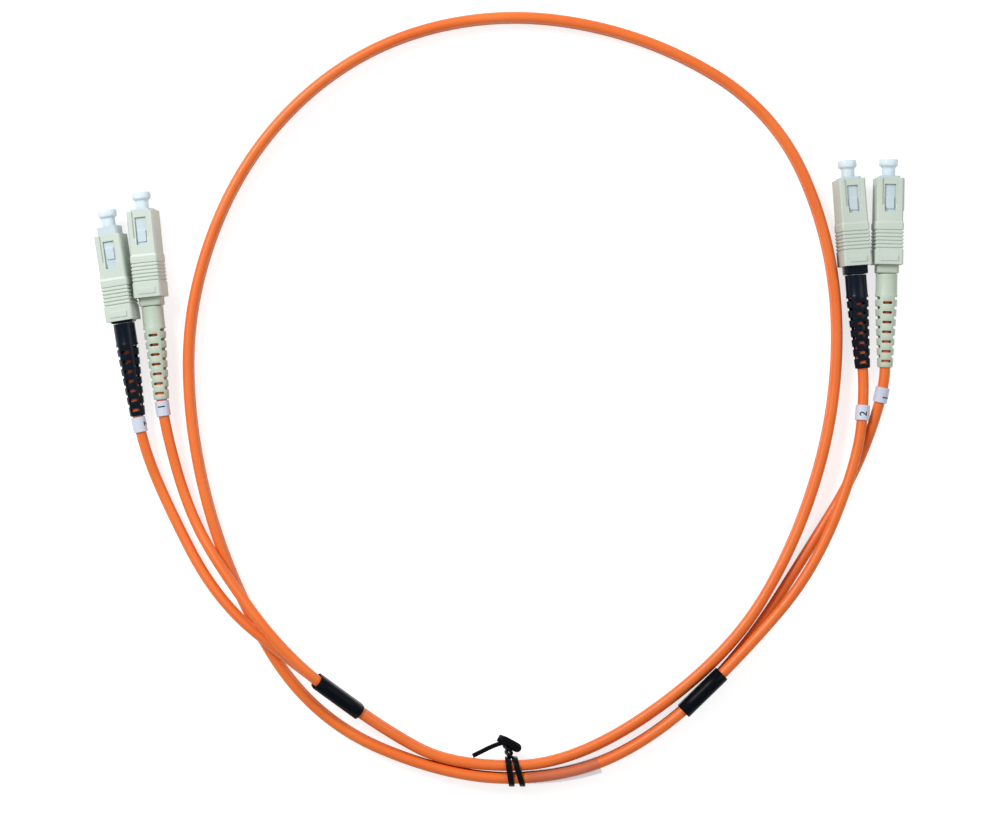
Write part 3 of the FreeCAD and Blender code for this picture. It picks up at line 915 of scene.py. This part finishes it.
def tie_twist(phase, steps=32):
    """One of the two ribbons of the twist, wound round the line from its start to its end."""
    points = []
    for i in range(steps + 1):
        share = i / steps
        angle = 2 * math.pi * TWIST_TURNS * share + phase
        x, y, z = (a + (b - a) * share for a, b in zip(TWIST_START, TWIST_END))
        points.append((x + TWIST_RADIUS * math.cos(angle), y, z + TWIST_RADIUS * math.sin(angle)))
    return in_metres(points)


def paddle_outline():
    """Narrow and square at the root, straight along the sides and round at the tip."""
    wide = PADDLE_HALF_WIDTH
    outline = [(-3.55, -0.95), (-3.55, 0.95), (-1.5, wide), (1.4, wide)]
    for i in range(1, 12):
        angle = math.pi / 2 - math.pi * i / 12
        outline.append((2.3 + 1.35 * math.cos(angle), wide * math.sin(angle)))
    return outline + [(1.4, -wide), (-1.5, -wide)]


def paddle_mesh():
    """The flat end of the tie, drawn in at its lower and upper faces."""
    turn = Matrix.Rotation(math.radians(PADDLE_TURN), 3, "Z")
    rings = []
    for inset, height in PADDLE_LAYERS:
        shorter = 1 - inset / PADDLE_HALF_LENGTH
        narrower = 1 - inset / PADDLE_HALF_WIDTH
        ring = []
        for x, y in paddle_outline():
            point = turn @ Vector((x * shorter, y * narrower, height))
            ring.append((Vector(PADDLE_MIDDLE) + point) * MM)
        rings.append(ring)
    return loft_mesh("paddle", rings)


def make_tie():
    """Two turns of ribbon round the bundle, a twist, a paddle end and a thin tail."""
    wide = Vector((1, 0, 0))
    upright = Vector((0.4, 0, 1))
    level = Vector((0, 1, 0.2))
    parts = []
    for middle_x, lean, width in TIE_LOOPS:
        parts.append(ribbon_mesh(tie_loop(middle_x, lean), width, TIE_THICKNESS, wide, True))
    for phase in TWIST_PHASES:
        parts.append(ribbon_mesh(tie_twist(phase), TWIST_WIDTH, TWIST_THICKNESS, upright))
    parts.append(paddle_mesh())
    parts.append(ribbon_mesh(in_metres(TIE_TAIL), TAIL_WIDTH, TAIL_THICKNESS, level))
    form = bmesh.new()
    for mesh in parts:
        form.from_mesh(mesh)
        bpy.data.meshes.remove(mesh)
    whole = mesh_of(form, "tie_ribbon")
    shade_by_angle(whole, 50.0)
    add_piece("tie_ribbon", whole, tie_black, "cable", ["twist_tie"])


# Stage

def add_math(tree, operation, first, second):
    """Two values worked into one; the second is a socket or a plain number."""
    node = tree.nodes.new("ShaderNodeMath")
    node.operation = operation
    tree.links.new(first, node.inputs[0])
    if isinstance(second, float):
        node.inputs[1].default_value = second
    else:
        tree.links.new(second, node.inputs[1])
    return node.outputs["Value"]


def floor_material():
    """A matt white that glows where it is seen: straight, through a clear piece or mirrored."""
    material = new_material("floor")
    tree = material.node_tree
    inputs = inputs_of(material)
    inputs["Base Color"].default_value = (0.6, 0.6, 0.6, 1.0)
    inputs["Roughness"].default_value = 0.9
    inputs["Specular IOR Level"].default_value = 0.1
    inputs["Emission Color"].default_value = (1.0, 1.0, 1.0, 1.0)
    ray = tree.nodes.new("ShaderNodeLightPath").outputs
    seen = add_math(tree, "MAXIMUM", ray["Is Camera Ray"], ray["Is Transmission Ray"])
    seen_or_mirrored = add_math(tree, "MAXIMUM", seen, ray["Is Glossy Ray"])
    glow = add_math(tree, "MULTIPLY", seen_or_mirrored, FLOOR_GLOW)
    tree.links.new(glow, inputs["Emission Strength"])
    return material


def make_floor():
    """A wide table, a hair below the cable so that the two don't touch."""
    form = bmesh.new()
    bmesh.ops.create_grid(form, x_segments=1, y_segments=1, size=FLOOR_HALF)
    floor = new_object("floor", mesh_of(form, "floor"))
    floor.location.z = -FLOOR_DROP
    floor.data.materials.append(floor_material())


def add_area_light(name, place, size, power):
    """A square light that faces the middle of the table."""
    light = bpy.data.lights.new(name, "AREA")
    light.shape = "SQUARE"
    light.size = size
    light.energy = power
    holder = new_object(name, light)
    holder.location = place
    holder.rotation_euler = (-Vector(place)).to_track_quat("-Z", "Y").to_euler()


def make_lights():
    """An even white surround, a key light from the upper left and a weak fill from the right."""
    world = bpy.data.worlds.new("studio")
    bpy.context.scene.world = world
    world.use_nodes = True
    background = world.node_tree.nodes["Background"]
    background.inputs["Color"].default_value = (1.0, 1.0, 1.0, 1.0)
    background.inputs["Strength"].default_value = SURROUND
    add_area_light("key", *KEY_LIGHT)
    add_area_light("fill", *FILL_LIGHT)


def make_camera():
    """Straight down over the middle, with the photograph's scale at the cable's height."""
    distance = CAMERA_HEIGHT - CABLE_HEIGHT
    data = bpy.data.cameras.new("camera")
    data.sensor_width = SENSOR_MM
    data.lens = SENSOR_MM * PIXELS_PER_MM * distance / IMAGE_WIDTH
    data.clip_end = 10.0
    camera = new_object("camera", data)
    camera.location = Vector((*CAMERA_ABOVE, CAMERA_HEIGHT)) * MM
    bpy.context.scene.camera = camera


make_camera()
make_strands()
make_web()
make_guard_tubes()
make_label()
make_boots()
make_grips()
make_caps()
make_springs()
finish_inner_parts()
make_markers()
make_tie()
make_floor()
make_lights()
bpy.context.scene.view_settings.view_transform = "Standard"
